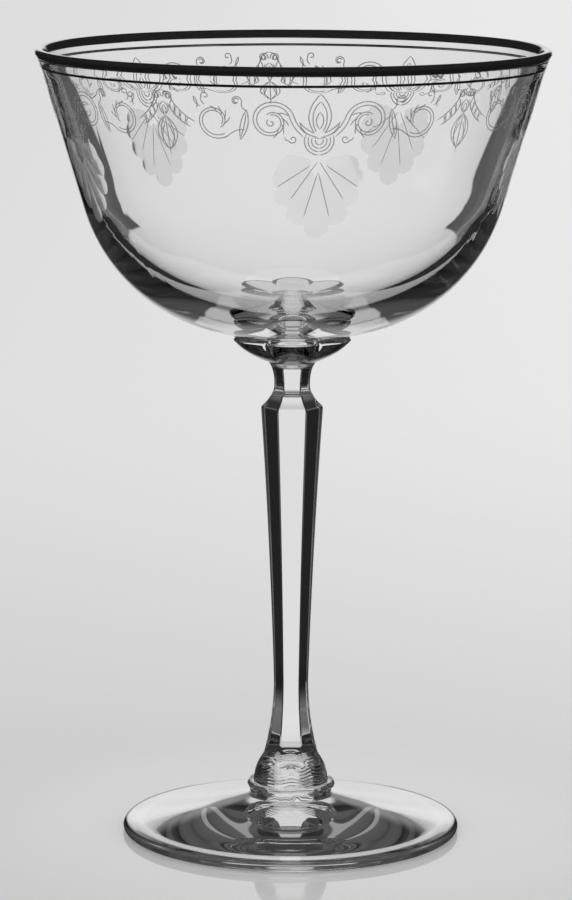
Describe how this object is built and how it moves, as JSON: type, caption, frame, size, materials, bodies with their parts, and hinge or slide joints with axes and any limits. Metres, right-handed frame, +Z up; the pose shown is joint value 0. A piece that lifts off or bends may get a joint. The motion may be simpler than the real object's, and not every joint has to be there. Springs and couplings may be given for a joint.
{
  "type": "sherbet glass",
  "caption": "Tall stemmed sherbet glass: wide rounded bowl with a flared, metal-banded lip on a slender faceted stem and a round foot, for ices, cocktails or sparkling wine.",
  "frame": {"origin": "centre of the ring that the foot rests on, at table level", "axes": "+Z up along the axis of the glass, from the foot to the lip; -Y is the front"},
  "size_m": [0.0978, 0.0978, 0.152],
  "materials": {
    "bowl_glass": "clear polished",
    "stem_glass": "clear fire-polished",
    "foot_glass": "clear fire-polished",
    "platinum": "bright fired-on metal"
  },
  "bodies": {
    "root": {"bowl": "bowl_glass", "stem": "stem_glass", "foot": "foot_glass", "rim_band": "platinum", "hairline_band": "platinum"}
  },
  "joints": []
}
